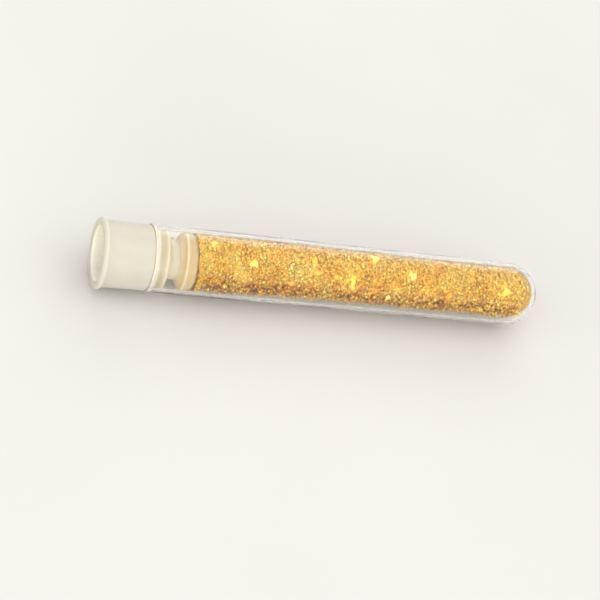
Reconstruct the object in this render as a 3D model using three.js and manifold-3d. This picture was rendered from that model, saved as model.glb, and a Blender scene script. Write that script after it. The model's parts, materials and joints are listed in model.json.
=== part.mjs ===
// Gold sample vial: a clear round-bottomed test tube lying on its side, closed by a hollow push-in
// stopper and filled almost to the stopper with loose gold flakes.
// Millimetres, +Z up. The tube's axis runs along X, with the stopper towards -X, and the stopper's
// flange rests on the plane z = 0. The origin is under the middle of the closed vial.
// A station is a distance along the axis from the tube's mouth, positive into the tube.
import * as THREE from "three";
import { mergeVertices } from "three/addons/utils/BufferGeometryUtils.js";
import Module from "manifold-3d";

const wasm = await Module();
wasm.setup();

// Driving dimensions of the tube
const SEGMENTS = 16; // flats round each turned piece, at the true radius, one of them facing down
const TUBE_LENGTH = 75;
const MOUTH_RADIUS = 6;
const END_RADIUS = 5.85; // moulding draft leaves the closed end a little slimmer
const WALL = 0.75;
const LIP_ROUND = 0.15;

// Driving dimensions of the stopper
const CAP_LENGTH = 9.1; // what stands out of the tube
const FLANGE_RADIUS = 6.3;
const SKIRT_RADIUS = 5.75; // at the shoulder
const SKIRT_DRAFT = 0.1; // the skirt is this much wider next to the flange
const CUP_RADIUS = 4.7; // the open hollow, at the rim
const CUP_DRAFT = 0.15;
const PLUG_LENGTH = 8; // what goes into the tube
const PLUG_RADIUS = 4.9;
const PLUG_TIP_RADIUS = 4.85;
const WAIST_RADIUS = 3.4; // bottom of the deep groove between the sealing rings
const WAIST = [3.55, 4.95]; // stations of the groove's flat bottom
const OUTER_RING = [2.1, 2.55]; // stations of the crest of the sealing ring next to the mouth
const INNER_RING = [5.7, 6.15]; // and of the one next to the gold
const RING_CLEARANCE = 0.05; // radial, between a sealing ring and the bore
const PLUG_BORE_RADIUS = 2.5; // past the groove, where the hollow narrows
const PLUG_END_WALL = 0.9;
const SHOULDER_GAP = 0.05; // between the stopper's shoulder and the tube's mouth
const GATE_MARK_RADIUS = 0.45;
const GATE_MARK_ANGLE = THREE.MathUtils.degToRad(205); // round the axis from straight up, by way of +Y

// Driving dimensions of the gold
const HEADSPACE = 0.5; // free length between the stopper and the gold
const BED_CLEARANCE = 0.45; // between the packed mass and the bore, where the loose flakes lie
const BED_LUMP = 0.1; // half the height of the lumps on the packed mass
const SLUMP = 0.8; // how far the gold has settled away from one side of the bore
const SLUMP_ANGLE = THREE.MathUtils.degToRad(230); // of that side, round the axis from straight up
const BED_SEGMENTS = 24;
const BED_RINGS = 36;
const FLAKE_COUNT = 40;
const FLAKE_THICKNESS = 0.08;
const FLAKE_SIZE = 0.5; // mean radius of a flake's outline
const FLAKE_LIFT = 0.25; // from the mean surface of the packed mass to the underside of a flake
const GOLDEN_ANGLE = Math.PI * (3 - Math.sqrt(5));

const BORE_RADIUS = MOUTH_RADIUS - WALL;
const MOUTH_X = (CAP_LENGTH - TUBE_LENGTH) / 2;
const AXIS_Z = FLANGE_RADIUS;

const materials = {
  tube: material(0xdfe3e0, 0.05, 0, 0.3),
  stopper: material(0xe8e3d0, 0.35, 0, 0.9),
  bed: material(0xc98f35, 0.45, 1, 1),
  flakes: [0xf2c562, 0xe0a53c, 0xfbe09a].map((colour) => material(colour, 0.3, 1, 1)),
};

function material(color, roughness, metalness, opacity) {
  return new THREE.MeshStandardMaterial({
    color,
    roughness,
    metalness,
    opacity,
    transparent: opacity < 1,
  });
}

function point(radius, station) {
  return new THREE.Vector2(radius, station);
}

// Points of an arc in the profile plane, from one angle to another in degrees, both ends included.
function arc(radius, station, size, from, to, steps) {
  return Array.from({ length: steps + 1 }, (_, i) => {
    const angle = THREE.MathUtils.degToRad(from + ((to - from) * i) / steps);
    return point(radius + size * Math.cos(angle), station + size * Math.sin(angle));
  });
}

function boreRadiusAt(station) {
  return BORE_RADIUS - ((MOUTH_RADIUS - END_RADIUS) * station) / (TUBE_LENGTH - END_RADIUS);
}

// Keeps the positions only, with shared vertices merged, so that the surface is closed.
function welded(geometry) {
  geometry.deleteAttribute("normal");
  geometry.deleteAttribute("uv");
  return mergeVertices(geometry, 1e-4);
}

// A profile of (radius, station) points turned about the axis, with the stations along +X. The radii
// are those of the flats, so the corners between the flats stand a little further out.
function turned(profile, segments = SEGMENTS) {
  const halfTurn = Math.PI / segments;
  const geometry = new THREE.LatheGeometry(profile, segments, halfTurn);
  geometry.scale(1 / Math.cos(halfTurn), 1, 1 / Math.cos(halfTurn));
  return welded(geometry.rotateZ(-Math.PI / 2));
}

function toSolid(geometry) {
  return new wasm.Manifold(
    new wasm.Mesh({
      numProp: 3,
      vertProperties: geometry.attributes.position.array,
      triVerts: new Uint32Array(geometry.index.array),
    }),
  );
}

function toGeometry(solid) {
  const mesh = solid.getMesh();
  return new THREE.BufferGeometry()
    .setAttribute("position", new THREE.BufferAttribute(mesh.vertProperties, 3))
    .setIndex(new THREE.BufferAttribute(mesh.triVerts, 1));
}

function named(name, geometry, look) {
  geometry.computeVertexNormals();
  const mesh = new THREE.Mesh(geometry, look);
  mesh.name = name;
  return mesh;
}

// The test tube: a long barrel with a hemispherical closed end and a rounded lip.
function tube() {
  const centre = TUBE_LENGTH - END_RADIUS;
  const inner = boreRadiusAt(centre);
  const profile = [
    ...arc(0, centre, inner, 90, 0, 8),
    ...arc(BORE_RADIUS + LIP_ROUND, LIP_ROUND, LIP_ROUND, 180, 270, 2),
    ...arc(MOUTH_RADIUS - LIP_ROUND, LIP_ROUND, LIP_ROUND, 270, 360, 2),
    ...arc(0, centre, END_RADIUS, 0, 90, 8),
  ];
  return named("tube", turned(profile), materials.tube);
}

// The crest of one sealing ring, from its inner edge to its outer edge.
function sealingRing([outer, inner]) {
  const crest = boreRadiusAt(inner) - RING_CLEARANCE;
  return [point(crest, inner), point(crest, outer)];
}

// The stopper: an open cup outside the tube and, inside it, a hollow plug with two sealing rings.
function stopper() {
  const rim = -CAP_LENGTH;
  const flangeSkirt = SKIRT_RADIUS + SKIRT_DRAFT;
  const [waistStart, waistEnd] = WAIST;
  const shoulderRound = 0.2;
  const flangeFlare = 1.9; // length over which the skirt flares into the flange
  const profile = [
    point(0, PLUG_LENGTH),
    point(PLUG_TIP_RADIUS - 0.45, PLUG_LENGTH),
    point(PLUG_TIP_RADIUS - 0.15, PLUG_LENGTH - 0.2),
    point(PLUG_TIP_RADIUS, PLUG_LENGTH - 0.9),
    ...sealingRing(INNER_RING),
    point(WAIST_RADIUS, waistEnd),
    point(WAIST_RADIUS, waistStart),
    ...sealingRing(OUTER_RING),
    point(PLUG_RADIUS, 1.7),
    point(PLUG_RADIUS, -SHOULDER_GAP),
    ...arc(SKIRT_RADIUS - shoulderRound, -shoulderRound - SHOULDER_GAP, shoulderRound, 90, 0, 3),
    point(flangeSkirt, rim + flangeFlare),
    point(flangeSkirt + 0.07, rim + 1.4),
    point(FLANGE_RADIUS - 0.12, rim + 0.95),
    point(FLANGE_RADIUS, rim + 0.75),
    point(FLANGE_RADIUS, rim + 0.4),
    point(FLANGE_RADIUS - 0.12, rim + 0.12),
    point(FLANGE_RADIUS - 0.4, rim),
    point(CUP_RADIUS + 0.4, rim),
    point(CUP_RADIUS + 0.12, rim + 0.14),
    point(CUP_RADIUS, rim + 0.45),
    point(CUP_RADIUS - CUP_DRAFT, -0.9),
    point(CUP_RADIUS - CUP_DRAFT - 0.2, -0.4),
    point(PLUG_BORE_RADIUS + 1.3, 0.6),
    point(PLUG_BORE_RADIUS + 1.1, 2.2),
    point(PLUG_BORE_RADIUS + 0.1, 3.5),
    point(PLUG_BORE_RADIUS, PLUG_LENGTH - PLUG_END_WALL - 0.5),
    point(PLUG_BORE_RADIUS - 0.5, PLUG_LENGTH - PLUG_END_WALL),
    point(0, PLUG_LENGTH - PLUG_END_WALL),
  ].reverse();
  const body = toSolid(turned(profile));
  return named("stopper", toGeometry(body.add(toSolid(gateMark()))), materials.stopper);
}

// The small pip that the moulding gate leaves on the skirt, next to the shoulder.
function gateMark() {
  const sphere = new THREE.SphereGeometry(GATE_MARK_RADIUS, 12, 8);
  sphere.scale(1, 0.8, 0.8);
  sphere.translate(-0.95, 0, SKIRT_RADIUS - 0.13);
  sphere.rotateX(-GATE_MARK_ANGLE);
  return welded(sphere);
}

// How far the gold has settled away from the bore at an angle round the axis from straight up.
function slumpAt(angle) {
  return SLUMP * Math.max(0, Math.cos(angle - SLUMP_ANGLE)) ** 2;
}

// Height of the lumps on the packed mass at a station and an angle, between -1 and 1.
function lump(station, angle) {
  const coarse = Math.sin(1.9 * station + 3 * angle) * Math.cos(5 * angle - 0.7 * station);
  const fine = Math.sin(4.3 * station - 7 * angle) * Math.sin(2.6 * station + 2 * angle);
  return 0.6 * coarse + 0.4 * fine;
}

// The packed mass of gold, as one lumpy solid that fills the bore up to the headspace.
function goldBed() {
  const start = PLUG_LENGTH + HEADSPACE;
  const centre = TUBE_LENGTH - END_RADIUS;
  const radius = boreRadiusAt(centre) - BED_CLEARANCE;
  const barrel = Array.from({ length: BED_RINGS + 1 }, (_, i) =>
    point(radius, start + 0.5 + ((centre - start - 0.5) * i) / BED_RINGS),
  );
  const profile = [
    point(0, start + 0.2),
    point(radius * 0.5, start + 0.15),
    point(radius * 0.9, start + 0.2),
    ...barrel,
    ...arc(0, centre, radius, 12, 78, 5),
    point(0, centre + radius),
  ];
  const geometry = turned(profile, BED_SEGMENTS);
  const position = geometry.attributes.position;
  const vertex = new THREE.Vector3();
  for (let i = 0; i < position.count; i += 1) {
    vertex.fromBufferAttribute(position, i);
    const spread = Math.hypot(vertex.y, vertex.z);
    const angle = Math.atan2(vertex.y, vertex.z);
    const height = BED_LUMP * lump(vertex.x, angle) - slumpAt(angle);
    const swell = spread > 1 ? 1 + height / radius : 1;
    position.setXYZ(i, vertex.x, vertex.y * swell, vertex.z * swell);
  }
  return named("gold_flake_bed", geometry, materials.bed);
}

// A repeatable spread of values between 0 and 1, one for each whole number and channel.
function scatter(index, channel) {
  const value = Math.sin(index * 12.9898 + channel * 78.233) * 43758.5453;
  return value - Math.floor(value);
}

// One loose flake: a thin plate with a torn, irregular outline, lying on the packed mass.
function goldFlake(index) {
  const corners = 5 + Math.floor(3 * scatter(index, 0));
  const outline = Array.from({ length: corners }, (_, i) => {
    const angle = (2 * Math.PI * (i + 0.5 * scatter(index, 10 + i))) / corners;
    const reach = FLAKE_SIZE * (0.7 + 0.6 * scatter(index, 20 + i));
    return new THREE.Vector2(reach * Math.cos(angle), reach * Math.sin(angle));
  });
  const geometry = welded(
    new THREE.ExtrudeGeometry(new THREE.Shape(outline), {
      depth: FLAKE_THICKNESS,
      bevelEnabled: false,
    }),
  );
  const first = PLUG_LENGTH + HEADSPACE + 2;
  const last = TUBE_LENGTH - END_RADIUS - 2;
  const bedRadius = boreRadiusAt(TUBE_LENGTH - END_RADIUS) - BED_CLEARANCE;
  const angle = GOLDEN_ANGLE * index;
  geometry.translate(0, 0, bedRadius - slumpAt(angle) + FLAKE_LIFT);
  const name = "gold_flake_" + String(index + 1).padStart(2, "0");
  const flake = named(name, geometry, materials.flakes[index % materials.flakes.length]);
  flake.position.x = first + ((last - first) * index) / (FLAKE_COUNT - 1);
  flake.rotation.x = -angle;
  return flake;
}

const vial = new THREE.Group();
vial.position.set(MOUTH_X, 0, AXIS_Z);
vial.add(tube(), stopper(), goldBed());
for (let index = 0; index < FLAKE_COUNT; index += 1) {
  vial.add(goldFlake(index));
}

export default vial;
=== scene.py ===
"""The looks of the gold sample vial: a clear tube, a milky push-in stopper and loose gold flakes.

Everything is in metres, in the shared frame: the tube's axis runs along +X, the vial lies on
z = 0. A station is a distance along the axis from the tube's mouth, positive into the tube. An
angle round the axis starts straight up and grows by way of +Y.
"""

import json
import math

import bmesh
import bpy
import numpy as np
from mathutils import Matrix, Vector, noise


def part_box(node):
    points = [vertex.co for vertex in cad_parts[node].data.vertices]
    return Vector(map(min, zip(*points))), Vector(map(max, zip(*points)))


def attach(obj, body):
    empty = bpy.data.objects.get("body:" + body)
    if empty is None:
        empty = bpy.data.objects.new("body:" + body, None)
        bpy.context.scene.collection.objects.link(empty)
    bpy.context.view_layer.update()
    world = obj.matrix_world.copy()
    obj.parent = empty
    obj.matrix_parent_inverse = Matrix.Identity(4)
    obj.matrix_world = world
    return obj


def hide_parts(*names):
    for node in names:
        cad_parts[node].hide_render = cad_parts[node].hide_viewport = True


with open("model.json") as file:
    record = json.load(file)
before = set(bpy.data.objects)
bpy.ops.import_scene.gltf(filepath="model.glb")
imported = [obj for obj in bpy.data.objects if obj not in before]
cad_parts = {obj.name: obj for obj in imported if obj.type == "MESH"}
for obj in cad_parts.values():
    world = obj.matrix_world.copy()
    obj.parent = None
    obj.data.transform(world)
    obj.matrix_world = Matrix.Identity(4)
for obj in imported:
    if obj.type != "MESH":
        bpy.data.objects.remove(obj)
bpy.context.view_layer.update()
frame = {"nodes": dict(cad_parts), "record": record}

MM = 0.001

# ---------------------------------------------------------------- places, from the CAD frame

tube_low, tube_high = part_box("tube")
cap_low, cap_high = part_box("stopper")
bed_low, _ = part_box("gold_flake_bed")
FLAKE_NODES = sorted(
    n for n in frame["nodes"] if n.startswith("gold_flake_") and n != "gold_flake_bed"
)

MOUTH_X = tube_low.x
TUBE_LENGTH = tube_high.x - tube_low.x
MOUTH_RADIUS = (tube_high.y - tube_low.y) / 2
AXIS_Z = (tube_high.z + tube_low.z) / 2
CAP_LENGTH = MOUTH_X - cap_low.x
PLUG_LENGTH = cap_high.x - MOUTH_X
FLANGE_RADIUS = (cap_high.y - cap_low.y) / 2
GOLD_START = bed_low.x - MOUTH_X

# ---------------------------------------------------------------- sizes of the tube and stopper

END_RADIUS = MOUTH_RADIUS - 0.15 * MM  # moulding draft
WALL = 0.75 * MM
LIP_ROUND = 0.12 * MM
LIP_LIGHT_ZONE = 1.0 * MM  # painted light: the stretch next to the mouth, made partly diffuse and warm to stand in for the bright band at the lip
END_CENTRE = TUBE_LENGTH - END_RADIUS  # station where the tube's round end begins
ROUND_STEPS = 192  # segments round each turned piece

CUP_RADIUS = 4.7 * MM  # the open hollow
PLUG_RADIUS = 4.9 * MM
WAIST_RADIUS = 3.4 * MM  # the groove between the sealing rings
SHOULDER_RADIUS = 5.74 * MM  # the skirt where it meets the tube's lip
SKIRT_RADIUS = 5.84 * MM  # the skirt next to the flange
OUTSIDE_FROM = 5.5 * MM  # only the skirt and the flange are wider than this

GATE_MARK = (-0.95 * MM, math.radians(205))  # station and angle of the moulding gate's pip
GATE_MARK_RADIUS = 0.5 * MM
GATE_MARK_HEIGHT = 0.32 * MM
GATE_MARK_FROM_AXIS = 5.75 * MM  # the skirt's radius there

# ---------------------------------------------------------------- sizes of the gold

SLUMP = 0.8 * MM  # how far the gold has settled away from one side of the bore
SLUMP_ANGLE = math.radians(230)
BORE_GAP = 0.03 * MM  # the hair that all gold keeps from the bore
LEAST_REACH = 0.02 * MM  # keeps the gold's limits off the axis at the round end
PRESS_DEPTH = 0.16 * MM  # gold this close to the bore is pressed flat against it
FACE_GAP = 0.08 * MM  # how far flakes may stand out from the gold's flat face
EDGE_FILL = 0.95 * MM  # how far the gold runs on past its face, round the stopper's tapered end
EDGE_RADIUS = 4.93 * MM  # only beyond this radius, which keeps it clear of the stopper's plug

# name, count, depth of the layer and least depth in mm, tilt, painted shade: loss of tone on the
# settled side
FINE_LAYERS = (
    ("loose_gold_outer", 19500, 0.3, 0.0, 0.18, 0.06),
    ("loose_gold_inner", 15000, 0.75, 0.2, 0.34, 0.5),
)
THINNING = 0.68  # the share of the fine flakes that is missing where the gold has settled most
LOOSENING = 5  # how much more they tilt there
FACE_FLAKES = 2000
EDGE_FLAKES = 2600
CLINGING_FLAKES = 90
FLAKE_SEED = 7

FINE_SIZES = (0.25, 0.1, 0.55)  # middle, least and most, in mm
FACE_SIZES = (0.25, 0.12, 0.5)
EDGE_SIZES = (0.18, 0.1, 0.34)
CLINGING_SIZES = (0.12, 0.06, 0.26)
SIZE_SPREAD = 0.42  # of the logarithm of a flake's size

BIG_SIZES = (0.42, 0.78)  # least and most, in mm, of the flakes that are single in the CAD
BIG_DEPTH = 0.15 * MM  # how far they lie under the radius that the gold reaches
UNDER_BIG = 0.28 * MM  # how far under them the fine flakes stay,
CLEARING = 1.25  # as far round them as this many times their size

PLATE_CORNERS = 5
PLATE_HALF = 0.015 * MM  # half the thickness of a small flake
LEAF_HALF = 0.012 * MM  # half the thickness of a big one
LEAF_RINGS, LEAF_SPOKES, LEAF_CORNERS = 5, 27, 9

# station, angle in degrees, distance from the axis, size and tone of the flakes in the groove
STRAY_FLAKES = (
    (4.2 * MM, 48, 3.75 * MM, 0.42 * MM, 0.35),
    (3.8 * MM, 78, 3.6 * MM, 0.16 * MM, 0.7),
    (5.0 * MM, 20, 4.1 * MM, 0.14 * MM, 0.5),
    (4.5 * MM, 300, 3.62 * MM, 0.12 * MM, 0.6),
)

# ---------------------------------------------------------------- colours

TUBE_COLOUR = (0.985, 0.979, 0.955, 1)
# painted light: the lip's diffuse colour stands in for the bright band that light makes at the lip
LIP_LIGHT_COLOUR = (0.87, 0.82, 0.70, 1)

# the stopper's colours, most of them as the two ends of a cloudy mix
SKIN = (0.535, 0.516, 0.44, 1), (0.555, 0.54, 0.474, 1)  # the skirt and the flange
RIM = (0.485, 0.466, 0.40, 1)  # the open end's rim
CUP = (0.86, 0.825, 0.725, 1), (0.91, 0.875, 0.78, 1)  # painted light: the inside of the hollow, made much lighter than the skin against the shade that falls in it
MILK = (0.60, 0.54, 0.40, 1), (0.64, 0.59, 0.47, 1)  # the plug near the mouth
GLOW = (0.65, 0.48, 0.245, 1), (0.67, 0.53, 0.31, 1)  # painted glow: the plug near the gold, warm with the gold's light seen through it
# painted glow: the plug's end, warmest next to the gold
PLUG_END_GLOW = (0.81, 0.61, 0.305, 1)
# painted light: the groove's colour is lighter to cancel the shade that falls in the groove
WAIST = (0.94, 0.81, 0.62, 1)
# painted highlight: the bright lines where the rings press on the bore
CONTACT_HIGHLIGHT = (0.76, 0.66, 0.47, 1)

# the leaf's colour by tone: deep shade, orange, yellow, pale, and a clear yellow at the top
LEAF_TONES = (
    (0.0, (0.42, 0.15, 0.01)),
    (0.12, (0.85, 0.35, 0.02)),
    (0.30, (1.0, 0.54, 0.05)),
    (0.60, (1.0, 0.68, 0.10)),
    (0.85, (1.0, 0.76, 0.19)),
    (0.95, (1.0, 0.84, 0.38)),
    (1.0, (1.0, 0.80, 0.18)),
)

FLOOR = (0.62, 0.61, 0.592, 1), (0.66, 0.65, 0.632, 1)
SKY_COLOUR = (1, 0.985, 0.955, 1)
LAMP_COLOUR = (1, 0.98, 0.95)

# ---------------------------------------------------------------- stage

FLOOR_HALF = 1.5
SKY_BRIGHTEST = (0.30, -0.20, 0.93)  # the way to the middle of the sky's bright region
SKY_RANGE = (0.49, 1.68)  # strength far from it and in its middle
SKY_EDGE = 0.3  # cosine of the angle from it at which the sky begins to grow brighter

# the camera, as fitted to the photo's outlines
CAMERA_PLACE = (-0.1093, -0.1926, 0.22738)
CAMERA_FORWARD = (0.33767, 0.60656, -0.71976)
CAMERA_UP = (-0.08943, 0.78189, 0.61696)
CAMERA_LENS = 104.2
CAMERA_SENSOR = 36


# ---------------------------------------------------------------- the bore and its seals


def bore_radius(station):
    """Inner radius of the tube at a station, up to where its round end begins."""
    return MOUTH_RADIUS - WALL - (MOUTH_RADIUS - END_RADIUS) * station / END_CENTRE


CREST_RADIUS = bore_radius(6 * MM) - 0.01 * MM  # the sealing rings
CONTACT_HIGHLIGHT_STATIONS = (2.38 * MM, 5.94 * MM)  # painted highlight: the bright lines where a ring presses on the bore


# ---------------------------------------------------------------- mesh helpers


def placed(name, data):
    """A new object in the scene for a mesh, a light or a camera."""
    made = bpy.data.objects.new(name, data)
    bpy.context.scene.collection.objects.link(made)
    return made


def arc(station, radius, size, start, end, steps):
    """Profile points on an arc between two angles in degrees, 0 being away from the axis."""
    made = []
    for i in range(steps + 1):
        a = math.radians(start + (end - start) * i / steps)
        made.append((station + size * math.sin(a), radius + size * math.cos(a)))
    return made


def rounded(corners, steps=6, share=0.48):
    """Profile points for (station, radius, fillet) corners, each replaced by a smooth bend.

    A bend takes no more than its share of either side, so that two bends never meet.
    """
    made = []
    for i, (station, radius, fillet) in enumerate(corners):
        if i in (0, len(corners) - 1) or fillet == 0:
            made.append((station, radius))
            continue
        here = Vector((station, radius))
        before = Vector(corners[i - 1][:2]) - here
        after = Vector(corners[i + 1][:2]) - here
        reach = min(fillet, before.length * share, after.length * share)
        first = here + before.normalized() * reach
        last = here + after.normalized() * reach
        for k in range(steps + 1):
            t = k / steps
            p = first.lerp(here, t).lerp(here.lerp(last, t), t)
            made.append((p.x, p.y))
    return made


def divided(profile, longest):
    """The same profile with its long stretches cut up, so that the surface is evenly divided."""
    made = [profile[0]]
    for a, b in zip(profile, profile[1:]):
        pieces = max(1, math.ceil(math.dist(a, b) / longest))
        made += [(a[0] + (b[0] - a[0]) * k / pieces, a[1] + (b[1] - a[1]) * k / pieces)
                 for k in range(1, pieces + 1)]
    return made


def turned(name, profile, steps=ROUND_STEPS, wobble=None):
    """A closed body turned about the tube's axis. The profile starts and ends on the axis."""
    mesh = bpy.data.meshes.new(name)
    form = bmesh.new()
    rings = []
    for station, radius in profile:
        x = MOUTH_X + station
        if radius < 1e-7:
            rings.append([form.verts.new((x, 0, AXIS_Z))])
            continue
        ring = []
        for k in range(steps):
            a = 2 * math.pi * k / steps
            r = radius + (wobble(station, a, radius) if wobble else 0)
            ring.append(form.verts.new((x, r * math.sin(a), AXIS_Z + r * math.cos(a))))
        rings.append(ring)
    for a, b in zip(rings, rings[1:]):
        for k in range(steps):
            j = (k + 1) % steps
            if len(a) == 1:
                form.faces.new((a[0], b[k], b[j]))
            elif len(b) == 1:
                form.faces.new((a[k], b[0], a[j]))
            else:
                form.faces.new((a[k], b[k], b[j], a[j]))
    bmesh.ops.recalc_face_normals(form, faces=form.faces)
    form.to_mesh(mesh)
    form.free()
    mesh.shade_smooth()
    return placed(name, mesh)


# ---------------------------------------------------------------- material helpers


class Nodes:
    """A material's node tree, with short calls to add and join nodes."""

    def __init__(self, name):
        self.material = bpy.data.materials.new(name)
        self.material.use_nodes = True
        self.tree = self.material.node_tree
        self.tree.nodes.clear()
        self.output = self.add("ShaderNodeOutputMaterial")
        self.place = self.add("ShaderNodeTexCoord").outputs["Object"]

    def put(self, socket, value):
        """Joins another node's output to a socket, or sets the socket to a plain value."""
        if isinstance(value, bpy.types.NodeSocket):
            self.tree.links.new(value, socket)
        else:
            socket.default_value = value

    def add(self, kind, inputs=None, **settings):
        """A new node. Its inputs go by name or number, its settings are its own properties."""
        node = self.tree.nodes.new(kind)
        for key, value in settings.items():
            setattr(node, key, value)
        for key, value in (inputs or {}).items():
            self.put(node.inputs[key], value)
        return node

    def noise(self, scale, detail=2.0, roughness=0.5, place=None):
        return self.add("ShaderNodeTexNoise", {
            "Vector": place or self.place,
            "Scale": scale,
            "Detail": detail,
            "Roughness": roughness,
        }).outputs["Fac"]

    def spread(self, value, low, high, to_low=0.0, to_high=1.0):
        """The value with the range low to high stretched to a new range, and held inside it."""
        return self.add("ShaderNodeMapRange", {
            "Value": value,
            "From Min": low,
            "From Max": high,
            "To Min": to_low,
            "To Max": to_high,
        }).outputs["Result"]

    def math(self, operation, a, b=0.0):
        node = self.add("ShaderNodeMath", operation=operation)
        self.put(node.inputs[0], a)
        self.put(node.inputs[1], b)
        return node.outputs[0]

    def blend(self, factor, a, b):
        """Colour a where the factor is 0, b where it is 1. Inputs 6 and 7 are the colour ones."""
        node = self.add("ShaderNodeMix", {0: factor, 6: a, 7: b}, data_type="RGBA")
        return node.outputs[2]

    def stretched(self, x, y, z):
        return self.add("ShaderNodeMapping", {
            "Vector": self.place,
            "Scale": (x, y, z),
        }).outputs["Vector"]

    def bump(self, height, strength, distance):
        return self.add("ShaderNodeBump", {
            "Height": height,
            "Strength": strength,
            "Distance": distance,
        }).outputs["Normal"]

    def finish(self, shader):
        self.tree.links.new(shader, self.output.inputs["Surface"])
        return self.material


# ---------------------------------------------------------------- materials


def clear_plastic():
    """Moulded polystyrene: clear and glossy, with faint flow ripples and handling haze."""
    m = Nodes("clear_polystyrene")
    ripple = m.noise(420, 1.0, 0.4, m.stretched(0.25, 1, 1))
    haze = m.spread(m.noise(900, 3.0, 0.6), 0.4, 0.75, 0.012, 0.05)
    scratch = m.noise(2600, 2.0, 0.7, m.stretched(0.12, 1, 1))
    scratch = m.spread(scratch, 0.62, 0.8, 0.0, 0.08)
    along = m.add("ShaderNodeSeparateXYZ", {"Vector": m.place}).outputs["X"]
    # painted light: next to the mouth the plastic turns partly diffuse and warm, for the bright
    # band at the lip
    lip_light = m.spread(along, MOUTH_X + LIP_LIGHT_ZONE, MOUTH_X)
    plastic = m.add("ShaderNodeBsdfPrincipled", {
        "Base Color": m.blend(lip_light, TUBE_COLOUR, LIP_LIGHT_COLOUR),
        "Roughness": m.math("ADD", haze, scratch),
        "IOR": 1.59,
        "Specular Tint": (0.12, 0.12, 0.12, 1),
        "Transmission Weight": m.spread(lip_light, 0.0, 1.0, 0.985, 0.45),
        "Normal": m.bump(ripple, 0.12, 0.0004),
    })
    # light for the shadows goes straight through, so that the gold inside is lit
    through = m.add("ShaderNodeBsdfTransparent", {"Color": TUBE_COLOUR})
    rays = m.add("ShaderNodeLightPath")
    both = m.add("ShaderNodeMixShader", {
        0: rays.outputs["Is Shadow Ray"],
        1: plastic.outputs[0],
        2: through.outputs[0],
    })
    return m.finish(both.outputs[0])


def milky_plastic():
    """Natural polyethylene: waxy and translucent. The plug is painted warmer towards the gold, a
    painted glow of the gold's light seen through it.
    """
    m = Nodes("natural_polyethylene")
    cloud = m.noise(260, 2.0, 0.5)
    grain = m.noise(3200, 2.0, 0.6)
    striae = m.noise(1500, 2.0, 0.6, m.stretched(0.03, 1, 1))
    place = m.add("ShaderNodeSeparateXYZ", {"Vector": m.place}).outputs
    along = place["X"]
    up = m.math("SUBTRACT", place["Z"], AXIS_Z)
    squares = m.math("ADD", m.math("POWER", place["Y"], 2.0), m.math("POWER", up, 2.0))
    from_axis = m.math("POWER", squares, 0.5)

    # the part outside the tube: the skin, the rim and the inside of the cup, which is lightened as
    # painted light against its shade
    skin = m.blend(m.spread(cloud, 0.3, 0.7), *SKIN)
    rim_x = MOUTH_X - CAP_LENGTH
    at_rim = m.spread(along, rim_x + 0.6 * MM, rim_x + 0.15 * MM)
    skin = m.blend(at_rim, skin, RIM)
    # painted light: the hollow is coloured lighter to cancel the shade inside it
    cup = m.blend(m.spread(striae, 0.4, 0.65), *CUP)
    inside = m.spread(from_axis, CUP_RADIUS + 0.25 * MM, CUP_RADIUS + 0.12 * MM)
    outer = m.blend(inside, skin, cup)

    # the plug, painted warmer towards the gold: a painted glow of the gold's light through it
    patches = m.spread(cloud, 0.35, 0.65)
    at_end = m.spread(along, MOUTH_X + 6.6 * MM, MOUTH_X + 7.4 * MM)
    painted_glow = m.blend(at_end, m.blend(patches, *GLOW), PLUG_END_GLOW)
    near_gold = m.spread(along, MOUTH_X + 2 * MM, MOUTH_X + 6.4 * MM)
    plug = m.blend(near_gold, m.blend(patches, *MILK), painted_glow)
    # painted light: the groove is lightened against its shade
    in_waist = m.spread(from_axis, CREST_RADIUS - 0.5 * MM, CREST_RADIUS - 1.5 * MM)
    plug = m.blend(m.math("MULTIPLY", in_waist, 0.8), plug, WAIST)

    # painted highlight: the bright lines where the sealing rings press on the bore
    on_line = 0.0
    for station in CONTACT_HIGHLIGHT_STATIONS:
        off = m.math("ABSOLUTE", m.math("SUBTRACT", along, MOUTH_X + station))
        on_line = m.math("MAXIMUM", on_line, m.spread(off, 0.16 * MM, 0.08 * MM))
    on_crest = m.spread(from_axis, CREST_RADIUS - 0.2 * MM, CREST_RADIUS - 0.05 * MM)
    plug = m.blend(m.math("MULTIPLY", on_line, on_crest), plug, CONTACT_HIGHLIGHT)

    in_tube = m.spread(along, MOUTH_X - 0.3 * MM, MOUTH_X + 0.5 * MM)
    height = m.math("ADD", m.math("MULTIPLY", grain, 0.25), striae)
    body = m.add("ShaderNodeBsdfPrincipled", {
        "Base Color": m.blend(in_tube, outer, plug),
        "Roughness": m.spread(cloud, 0.3, 0.7, 0.34, 0.44),
        "IOR": 1.51,
        "Subsurface Weight": 1.0,
        "Subsurface Radius": (1.0, 0.9, 0.7),
        "Subsurface Scale": 0.0032,
        "Transmission Weight": m.math("MULTIPLY", in_tube, 0.2),
        "Normal": m.bump(height, 0.15, 0.00008),
    })
    return m.finish(body.outputs[0])


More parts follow.
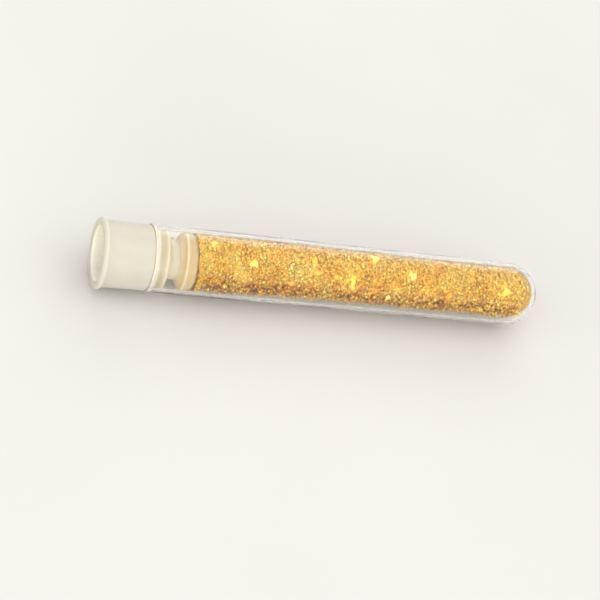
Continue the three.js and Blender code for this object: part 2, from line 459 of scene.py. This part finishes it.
def gold_leaf(name):
    """Crumpled leaf: metal whose colour goes by each flake's tone, with patches and crumples."""
    m = Nodes(name)
    tone = m.add("ShaderNodeAttribute", attribute_name="tone").outputs["Fac"]
    patch = m.noise(1400, 2.0, 0.5)
    region = m.noise(260, 2.0, 0.5)
    drift = m.spread(region, 0.32, 0.68, -0.2, 0.24)
    drift = m.math("ADD", drift, m.spread(patch, 0.3, 0.7, -0.05, 0.05))
    ramp = m.add("ShaderNodeValToRGB", {"Fac": m.math("ADD", tone, drift)})
    stops = ramp.color_ramp.elements
    while len(stops) < len(LEAF_TONES):
        stops.new(0.5)
    for stop, (place, colour) in zip(stops, LEAF_TONES):
        stop.position = place
        stop.color = (*colour, 1)
    crumple = m.noise(5200, 3.0, 0.6)
    metal = m.add("ShaderNodeBsdfPrincipled", {
        "Base Color": ramp.outputs["Color"],
        "Metallic": 0.75,
        "Specular IOR Level": 0.15,
        "Roughness": m.spread(patch, 0.3, 0.7, 0.16, 0.36),
        "Normal": m.bump(crumple, 0.35, 0.00004),
    })
    return m.finish(metal.outputs[0])


def pale_floor():
    """Matte paper with very faint clouds."""
    m = Nodes("pale_floor")
    cloud = m.noise(9, 3.0, 0.5)
    paper = m.add("ShaderNodeBsdfPrincipled", {
        "Base Color": m.blend(m.spread(cloud, 0.3, 0.7), *FLOOR),
        "Roughness": 0.75,
        "Normal": m.bump(m.noise(2400, 3.0, 0.6), 0.15, 0.00005),
    })
    return m.finish(paper.outputs[0])


# ---------------------------------------------------------------- the tube


def build_tube():
    """The round-bottomed tube, as one hollow body with a rounded lip."""
    inner = bore_radius(END_CENTRE)
    mouth_bore = MOUTH_RADIUS - WALL
    # a short first stretch keeps the lip's bend out of the barrel's shading
    past_lip = LIP_ROUND + 0.04 * MM
    profile = (
        arc(END_CENTRE, 0, END_RADIUS, 90, 0, 28)
        + [(past_lip, MOUTH_RADIUS)]
        + arc(LIP_ROUND, MOUTH_RADIUS - LIP_ROUND, LIP_ROUND, 0, -90, 6)
        + arc(LIP_ROUND, mouth_bore + LIP_ROUND, LIP_ROUND, -90, -180, 6)
        + [(past_lip, mouth_bore)]
        + arc(END_CENTRE, 0, inner, 0, 90, 28)
    )
    profile[0] = (TUBE_LENGTH, 0.0)
    profile[-1] = (END_CENTRE + inner, 0.0)
    piece = turned("clear_tube", divided(profile, 2.5 * MM))
    piece.data.materials.append(clear_plastic())
    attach(piece, "tube")
    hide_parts("tube")


# ---------------------------------------------------------------- the stopper


def gate_pip(station, angle, radius):
    """Height on the turned stopper: the moulding gate's pip on the skirt, near the shoulder."""
    if radius <= OUTSIDE_FROM:
        return 0.0
    across = math.remainder(angle - GATE_MARK[1], 2 * math.pi) * GATE_MARK_FROM_AXIS
    far = math.hypot(station - GATE_MARK[0], across) / GATE_MARK_RADIUS
    return GATE_MARK_HEIGHT * (1 - far * far) ** 2 if far < 1 else 0.0


def build_stopper():
    """The open cup with its flange, and the plug with two sealing rings, as one hollow body."""
    rim = -CAP_LENGTH
    end = PLUG_LENGTH
    outside = [  # station, radius and fillet, from the plug's end to the flange
        (end, 0, 0),
        (end, 4.7 * MM, 0.25 * MM),
        (end - 0.9 * MM, 4.86 * MM, 0.4 * MM),
        (6.15 * MM, CREST_RADIUS, 0.2 * MM),
        (5.75 * MM, CREST_RADIUS, 0.15 * MM),
        (4.95 * MM, WAIST_RADIUS, 0.15 * MM),
        (3.55 * MM, WAIST_RADIUS, 0.15 * MM),
        (2.55 * MM, CREST_RADIUS, 0.12 * MM),
        (2.15 * MM, CREST_RADIUS, 0.15 * MM),
        (1.7 * MM, PLUG_RADIUS, 0.25 * MM),
        (-0.01 * MM, PLUG_RADIUS, 0.1 * MM),
        (-0.01 * MM, SHOULDER_RADIUS, 0.16 * MM),
        (-2.0 * MM, SHOULDER_RADIUS + 0.03 * MM, 0.4 * MM),
        (rim + 1.9 * MM, SKIRT_RADIUS, 0.6 * MM),
        (rim + 1.1 * MM, SKIRT_RADIUS + 0.14 * MM, 0.35 * MM),
        (rim + 0.85 * MM, FLANGE_RADIUS - 0.03 * MM, 0.2 * MM),
        (rim + 0.5 * MM, FLANGE_RADIUS, 0.25 * MM),
        (rim + 0.15 * MM, FLANGE_RADIUS - 0.12 * MM, 0.15 * MM),
    ]
    hollow = [  # from the rim to the bottom of the hollow
        (rim, FLANGE_RADIUS - 0.45 * MM, 0.25 * MM),
        (rim, CUP_RADIUS + 0.42 * MM, 0.28 * MM),
        (rim + 0.45 * MM, CUP_RADIUS + 0.02 * MM, 0.3 * MM),
        (-0.9 * MM, CUP_RADIUS - 0.15 * MM, 0.4 * MM),
        (0.6 * MM, 3.8 * MM, 0.4 * MM),
        (2.2 * MM, 3.6 * MM, 0.5 * MM),
        (3.5 * MM, 2.6 * MM, 0.3 * MM),
        (end - 0.9 * MM, 2.5 * MM, 0.6 * MM),
        (end - 0.9 * MM, 0, 0),
    ]
    profile = divided(rounded(outside + hollow), 0.35 * MM)
    piece = turned("hollow_stopper", profile, wobble=gate_pip)
    piece.data.materials.append(milky_plastic())
    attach(piece, "stopper")
    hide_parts("stopper")


# ---------------------------------------------------------------- where the gold lies


def settled(around):
    """1 in the middle of the side where the gold has settled away, 0 on the other side."""
    return np.maximum(np.cos(around - SLUMP_ANGLE), 0) ** 2


def slump(station, around):
    """How far the gold has settled away from the bore, at a station and an angle."""
    along = np.clip((station - 11 * MM) / (16 * MM), 0.12, 1)
    long_waves = 0.12 * np.sin(station / (2.3 * MM))
    short_waves = 0.08 * np.sin(station / (0.9 * MM) + 3 * around)
    return SLUMP * settled(around) * along * (1 + long_waves + short_waves)


def wall_limit(station):
    """Radius of the bore at a station, less a hair."""
    straight = bore_radius(np.minimum(station, END_CENTRE)) - BORE_GAP
    squares = bore_radius(END_CENTRE) ** 2 - (station - END_CENTRE) ** 2
    end = np.maximum(np.sqrt(np.maximum(squares, 0)) - BORE_GAP, 0)
    return np.where(station > END_CENTRE, end, straight)


def gold_limit(station, around):
    """Radius that the gold reaches."""
    return np.maximum(wall_limit(station) - slump(station, around), LEAST_REACH)


def pressed_inside(points):
    """The points, moved where they would come too close to the bore or to the stopper.

    Near the bore they are pressed flat against it. In front of the gold's face they go back to
    the face or, next to the bore, to the front of its ragged edge.
    """
    station = points[:, 0] - MOUTH_X
    y, z = points[:, 1], points[:, 2] - AXIS_Z
    r = np.hypot(y, z)
    limit = np.maximum(wall_limit(station), LEAST_REACH)
    start = np.maximum(limit - PRESS_DEPTH, 0)
    room = np.maximum(limit - start, 1e-9)
    squeezed = start + room * (1 - np.exp(-np.maximum(r - start, 0) / room))
    scale = np.where(r > start, squeezed, r) / np.maximum(r, 1e-9)
    made = points.copy()
    made[:, 1] = y * scale
    made[:, 2] = AXIS_Z + z * scale
    first = MOUTH_X + GOLD_START - np.where(r > EDGE_RADIUS, EDGE_FILL, FACE_GAP)
    # flakes in the stopper's groove are well in front of the face, and stay there
    in_gold = station > 0.7 * PLUG_LENGTH
    made[:, 0] = np.where(in_gold, np.maximum(made[:, 0], first), made[:, 0])
    return made


# ---------------------------------------------------------------- making the gold


def mesh_piece(name, points, triangles, tone, leaf):
    """A piece from arrays of points and triangles, with a tone for each point."""
    mesh = bpy.data.meshes.new(name)
    mesh.vertices.add(len(points))
    mesh.vertices.foreach_set("co", np.asarray(points, np.float32).ravel())
    mesh.loops.add(triangles.size)
    mesh.loops.foreach_set("vertex_index", triangles.astype(np.int32).ravel())
    mesh.polygons.add(len(triangles))
    mesh.polygons.foreach_set("loop_start", np.arange(0, triangles.size, 3, dtype=np.int32))
    mesh.update(calc_edges=True)
    mesh.validate()
    tones = mesh.attributes.new("tone", "FLOAT", "POINT")
    tones.data.foreach_set("value", np.asarray(tone, np.float32))
    mesh.materials.append(leaf)
    return placed(name, mesh)


def plates(rng, station, around, reach, size, tilt):
    """Thin crumpled plates, as closed shells: five corners, and a middle on each side."""
    count, corners = len(station), PLATE_CORNERS
    out = np.stack([np.zeros(count), np.sin(around), np.cos(around)], 1)
    place = reach[:, None] * out
    place[:, 0] = MOUTH_X + station
    place[:, 2] += AXIS_Z
    normal = out + rng.normal(0, 1, (count, 3)) * tilt[:, None]
    normal /= np.linalg.norm(normal, axis=1, keepdims=True)
    side = np.cross(normal, rng.normal(0, 1, (count, 3)))
    side /= np.linalg.norm(side, axis=1, keepdims=True)
    other = np.cross(normal, side)
    turn = np.arange(corners) + rng.uniform(-0.3, 0.3, (count, corners))
    angle = turn * 2 * math.pi / corners
    spoke = size[:, None] * rng.uniform(0.5, 1.45, (count, corners))
    fold = size[:, None] * rng.normal(0, 0.14, (count, corners))
    narrow = rng.uniform(0.45, 1.0, (count, 1))
    rim = (
        place[:, None]
        + (spoke * np.cos(angle))[..., None] * side[:, None]
        + (spoke * np.sin(angle) * narrow)[..., None] * other[:, None]
        + fold[..., None] * normal[:, None]
    )
    middle = place + (size * rng.normal(0, 0.1, count))[:, None] * normal
    under = middle - PLATE_HALF * normal
    over = middle + PLATE_HALF * normal
    points = np.concatenate([rim, under[:, None], over[:, None]], 1)
    low = [(corners, (k + 1) % corners, k) for k in range(corners)]
    high = [(corners + 1, k, (k + 1) % corners) for k in range(corners)]
    first = np.arange(count) * (corners + 2)
    triangles = (np.array(low + high)[None] + first[:, None, None]).reshape(-1, 3)
    return pressed_inside(points.reshape(-1, 3)), triangles


def flake_piece(name, made, tones, leaf):
    """One piece of many plates, each with its own tone."""
    points, triangles = made
    return mesh_piece(name, points, triangles, np.repeat(tones, PLATE_CORNERS + 2), leaf)


def flake_sizes(rng, count, middle, least, most):
    """Sizes in metres from figures in mm: most flakes are near the middle size."""
    return np.exp(rng.normal(math.log(middle), SIZE_SPREAD, count)).clip(least, most) * MM


def flake_tones(rng, count):
    """Mostly bright yellow gold, with a few deep orange flakes and very few of the highest tone."""
    tone = rng.beta(4.0, 3.2, count) * 0.78 + 0.09
    odd = rng.uniform(0, 1, count)
    tone[odd < 0.05] *= 0.3
    tone[odd > 0.994] = 0.99
    return tone


def build_core():
    """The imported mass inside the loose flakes: a crumpled body that nothing shows through."""
    start = GOLD_START + 0.1 * MM
    end = END_CENTRE + 4.2 * MM
    steps, spokes = 220, 110
    guide = 4.3 * MM  # any radius will do: crumpled() moves each point to its place
    lumps = 4.2  # mm, near the core's radius, so that lumps are as wide as they are long
    stations = [start + (end - start) * k / steps for k in range(steps + 1)]
    profile = [(start, 0.0)] + [(s, guide) for s in stations] + [(end + 0.05 * MM, 0.0)]

    def crumpled(station, a, radius):
        p = Vector((station / MM, lumps * math.sin(a), lumps * math.cos(a)))
        height = 0.14 * MM * noise.noise(p * 1.6) + 0.12 * MM * noise.noise(p * 4.5)
        depth = 0.34 * MM + 0.7 * MM * float(settled(a))
        return float(gold_limit(np.float64(station), np.float64(a))) - depth + height - radius

    piece = turned("packed_gold", profile, spokes, crumpled)
    piece.data.shade_flat()
    tones = []
    for v in piece.data.vertices:
        # painted shade: the core is darker on the settled side, for the shade that falls on the
        # lower side
        shade = 0.8 * float(settled(math.atan2(v.co.y, v.co.z - AXIS_Z)))
        tones.append(0.45 + 0.3 * noise.noise(v.co * 900) - shade)
    piece.data.attributes.new("tone", "FLOAT", "POINT").data.foreach_set("value", tones)
    piece.data.materials.append(gold_leaf("packed_gold_leaf"))
    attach(piece, "gold")
    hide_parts("gold_flake_bed")


def clear_of(station, around, reach, big):
    """Reach of the fine flakes, held back under the big ones so that they don't hide them."""
    for big_station, big_angle, big_reach, big_size in big:
        turn = np.remainder(around - big_angle + math.pi, 2 * math.pi) - math.pi
        near = np.hypot(station - big_station, np.abs(turn) * big_reach) < big_size * CLEARING
        reach = np.where(near, np.minimum(reach, big_reach - UNDER_BIG), reach)
    return reach


def build_fine_flakes(rng, leaf, big):
    """Two layers of fine flakes: one at the bore, and one under it that fills the gaps."""
    for name, count, deep, least, lean, settled_shade in FINE_LAYERS:
        station = rng.uniform(GOLD_START - 0.1 * MM, TUBE_LENGTH - WALL - 0.15 * MM, count)
        around = rng.uniform(0, 2 * math.pi, count)
        kept = rng.uniform(0, 1, count) > THINNING * settled(around)
        station, around = station[kept], around[kept]
        count = len(station)
        depth = rng.uniform(0.0, 1.0, count) ** 1.5 * deep * MM + least * MM
        reach = np.maximum(gold_limit(station, around) - depth, 0.05 * MM)
        reach = clear_of(station, around, reach, big)
        size = flake_sizes(rng, count, *FINE_SIZES)
        loose = 1 + LOOSENING * settled(around)
        tilt = lean * loose * rng.uniform(0.4, 1.8, count)
        made = plates(rng, station, around, reach, size, tilt)
        # painted shade: flakes on the settled side are darker, for the shade that falls on the
        # lower side
        tones = flake_tones(rng, count) - settled_shade * settled(around)
        piece = flake_piece(name, made, tones, leaf)
        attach(piece, "gold")


def build_face_flakes(rng, leaf):
    """The flakes of the flat face that the gold turns to the stopper."""
    count = FACE_FLAKES
    station = GOLD_START + rng.uniform(-0.05, 0.6, count) * MM
    around = rng.uniform(0, 2 * math.pi, count)
    inwards = np.sqrt(rng.uniform(0.0, 1.0, count))
    reach = np.abs(gold_limit(station, around) * inwards - 0.05 * MM)
    size = flake_sizes(rng, count, *FACE_SIZES)
    made = plates(rng, station, around, reach, size, tilt=np.full(count, 1.2))
    piece = flake_piece("loose_gold_face", made, flake_tones(rng, count), leaf)
    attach(piece, "gold")


def build_edge_flakes(rng, leaf):
    """The ragged edge of the gold, pressed between the bore and the stopper's tapered end."""
    count = EDGE_FLAKES
    around = rng.uniform(0, 2 * math.pi, count)
    fill = EDGE_FILL * (0.7 - 0.3 * np.cos(around - SLUMP_ANGLE))
    behind = 0.35 * MM
    station = GOLD_START + behind - (fill + behind) * rng.beta(1.3, 1.5, count)
    reach = wall_limit(station) - rng.uniform(0, 0.12, count) * MM
    size = flake_sizes(rng, count, *EDGE_SIZES)
    made = plates(rng, station, around, reach, size, tilt=np.full(count, 0.12))
    piece = flake_piece("loose_gold_edge", made, flake_tones(rng, count), leaf)
    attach(piece, "gold")


def build_clinging_flakes(rng, leaf):
    """Specks that cling to the bore where the gold has settled away from it."""
    count = CLINGING_FLAKES
    station = rng.uniform(GOLD_START + 4 * MM, END_CENTRE, count)
    around = SLUMP_ANGLE + rng.normal(0, 0.35, count)
    reach = wall_limit(station) - 0.05 * MM
    size = flake_sizes(rng, count, *CLINGING_SIZES)
    made = plates(rng, station, around, reach, size, tilt=np.full(count, 0.2))
    piece = flake_piece("clinging_gold", made, flake_tones(rng, count), leaf)
    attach(piece, "tube")


def build_stray_flakes(rng, leaf):
    """Flakes that are caught in the groove between the sealing rings."""
    station, around, reach, size, tones = np.array(STRAY_FLAKES).T
    tilt = np.full(len(station), 0.3)
    made = plates(rng, station, np.radians(around), reach, size, tilt)
    piece = flake_piece("stray_gold", made, tones, leaf)
    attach(piece, "stopper")


def torn_outline(corners):
    """Points of a torn sheet of unit size, ring after ring round its middle."""
    flat = [(0.0, 0.0)]
    for k in range(1, LEAF_RINGS + 1):
        for j in range(LEAF_SPOKES):
            at = j / LEAF_SPOKES * LEAF_CORNERS
            low = corners[int(at) % LEAF_CORNERS]
            high = corners[(int(at) + 1) % LEAF_CORNERS]
            r = k / LEAF_RINGS * (low + (high - low) * (at - int(at)))
            a = 2 * math.pi * j / LEAF_SPOKES
            flat.append((r * math.cos(a), r * math.sin(a)))
    return flat


def leaf_triangles(below):
    """Triangles of a closed leaf whose upper side's points are numbered on from the lower's."""
    triangles = []
    for j in range(LEAF_SPOKES):
        i = (j + 1) % LEAF_SPOKES
        side = [(0, 1 + j, 1 + i)]
        for k in range(LEAF_RINGS - 1):
            a, b = 1 + k * LEAF_SPOKES, 1 + (k + 1) * LEAF_SPOKES
            side += [(a + j, b + j, b + i), (a + j, b + i, a + i)]
        triangles += [(below + p, below + r, below + q) for p, q, r in side] + side
        a = 1 + (LEAF_RINGS - 1) * LEAF_SPOKES
        triangles.append((a + j, below + a + j, below + a + i))
        triangles.append((a + j, below + a + i, a + i))
    return np.array(triangles)


def crumpled_leaf(name, rng, station, around, reach, size, tone, leaf):
    """One big flake: a torn, crumpled piece of leaf that lies against the gold."""
    corners = rng.uniform(0.42, 1.3, LEAF_CORNERS)
    along = Vector((1, 0, 0))
    out = Vector((0, math.sin(around), math.cos(around)))
    round_way = Vector((0, math.cos(around), -math.sin(around)))
    lean_x, lean_round = rng.normal(0, 0.16, 2)
    seed = Vector(rng.uniform(-50, 50, 3))
    middle = Vector((MOUTH_X + station, 0, AXIS_Z)) + out * reach
    sheet = []
    for x, t in torn_outline(corners):
        x, t = x * size, t * size
        p = Vector((x, t, 0)) / MM
        height = 0.2 * MM * noise.noise(p * 2.3 + seed) + 0.1 * MM * noise.noise(p * 5.5 + seed)
        bend = -t * t / (2 * reach)
        lift = height + bend + lean_x * x + lean_round * t
        sheet.append(middle + along * x + round_way * t + out * lift)
    half = out * LEAF_HALF
    points = pressed_inside(np.array([p - half for p in sheet] + [p + half for p in sheet]))
    tones = [tone + 0.1 * noise.noise(Vector(p) * 2500) for p in points]
    return mesh_piece(name, points, leaf_triangles(len(sheet)), tones, leaf)


def build_big_flakes(rng):
    """Each single flake of the CAD model as a crumpled leaf. Returns their places and sizes."""
    slots = {p["node"]: p["material_slot"] for p in frame["record"]["subparts"]}
    leaves = {
        "gold_leaf": (gold_leaf("gold_leaf_yellow"), 0.6),
        "gold_leaf_deep": (gold_leaf("gold_leaf_orange"), 0.2),
        "gold_leaf_pale": (gold_leaf("gold_leaf_lemon"), 0.86),
    }
    big = []
    for node in FLAKE_NODES:
        low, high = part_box(node)
        middle = (low + high) / 2
        station = middle.x - MOUTH_X
        around = math.atan2(middle.y, middle.z - AXIS_Z)
        reach = float(gold_limit(station, around)) - BIG_DEPTH
        size = rng.uniform(*BIG_SIZES) * MM
        leaf, tone = leaves[slots[node]]
        name = node.replace("gold_flake", "crumpled_leaf")
        piece = crumpled_leaf(name, rng, station, around, reach, size, tone, leaf)
        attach(piece, "gold")
        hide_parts(node)
        big.append((station, around, reach, size))
    return big


def build_gold():
    """All of the gold. One source of chance serves the pieces in turn, so their order counts."""
    rng = np.random.default_rng(FLAKE_SEED)
    leaf = gold_leaf("loose_gold_leaf")
    build_core()
    big = build_big_flakes(rng)
    build_fine_flakes(rng, leaf, big)
    build_face_flakes(rng, leaf)
    build_edge_flakes(rng, leaf)
    build_clinging_flakes(rng, leaf)
    build_stray_flakes(rng, leaf)


# ---------------------------------------------------------------- floor, lights and camera


def build_floor():
    """The pale paper that the vial lies on."""
    mesh = bpy.data.meshes.new("floor")
    corners = [(-1, -1), (1, -1), (1, 1), (-1, 1)]
    points = [(x * FLOOR_HALF, y * FLOOR_HALF, 0) for x, y in corners]
    mesh.from_pydata(points, [], [(0, 1, 2, 3)])
    floor = placed("floor", mesh)
    floor.data.materials.append(pale_floor())


def area_light(name, place, target, size, power):
    light = bpy.data.lights.new(name, "AREA")
    light.shape = "RECTANGLE"
    light.size, light.size_y = size
    light.energy = power
    light.color = LAMP_COLOUR
    lamp = placed(name, light)
    lamp.location = place
    lamp.rotation_mode = "QUATERNION"
    lamp.rotation_quaternion = (Vector(target) - Vector(place)).to_track_quat("-Z", "Y")


def build_sky():
    """Even studio light that grows softly to a broad bright region, high up and to the right."""
    world = bpy.data.worlds.new("studio")
    world.use_nodes = True
    nodes, links = world.node_tree.nodes, world.node_tree.links
    way = nodes.new("ShaderNodeTexCoord")
    towards = nodes.new("ShaderNodeVectorMath")
    towards.operation = "DOT_PRODUCT"
    towards.inputs[1].default_value = Vector(SKY_BRIGHTEST).normalized()
    rise = nodes.new("ShaderNodeMapRange")
    rise.interpolation_type = "SMOOTHSTEP"
    rise.inputs["From Min"].default_value = SKY_EDGE
    rise.inputs["From Max"].default_value = 1.0
    rise.inputs["To Min"].default_value, rise.inputs["To Max"].default_value = SKY_RANGE
    links.new(way.outputs["Generated"], towards.inputs[0])
    links.new(towards.outputs["Value"], rise.inputs["Value"])
    links.new(rise.outputs["Result"], nodes["Background"].inputs["Strength"])
    nodes["Background"].inputs["Color"].default_value = SKY_COLOUR
    bpy.context.scene.world = world


def build_lights():
    """Large soft lights to the left, behind and low in front, and the sky."""
    middle = (0, 0, AXIS_Z)
    area_light("side_light", (-0.58, -0.23, 0.34), middle, (0.8, 0.55), 2.0)
    area_light("back_light", (0.15, 0.60, 0.35), middle, (0.6, 0.35), 1.25)
    area_light("front_light", (0.12, -0.47, 0.10), (0.03, 0, AXIS_Z), (0.9, 0.16), 1.05)
    build_sky()
    bpy.context.scene.view_settings.view_transform = "Standard"


def build_camera():
    """The camera stands to the left of the vial, past the stopper's end, and looks down on it."""
    camera = bpy.data.cameras.new("camera")
    camera.lens = CAMERA_LENS
    camera.sensor_width = CAMERA_SENSOR
    camera.clip_start = 0.005
    eye = placed("camera", camera)
    forward = Vector(CAMERA_FORWARD).normalized()
    right = forward.cross(Vector(CAMERA_UP)).normalized()
    up = right.cross(forward)
    turn = Matrix((right, up, -forward)).transposed()
    eye.matrix_world = Matrix.Translation(CAMERA_PLACE) @ turn.to_4x4()
    bpy.context.scene.camera = eye


build_camera()
build_tube()
build_stopper()
build_gold()
build_floor()
build_lights()
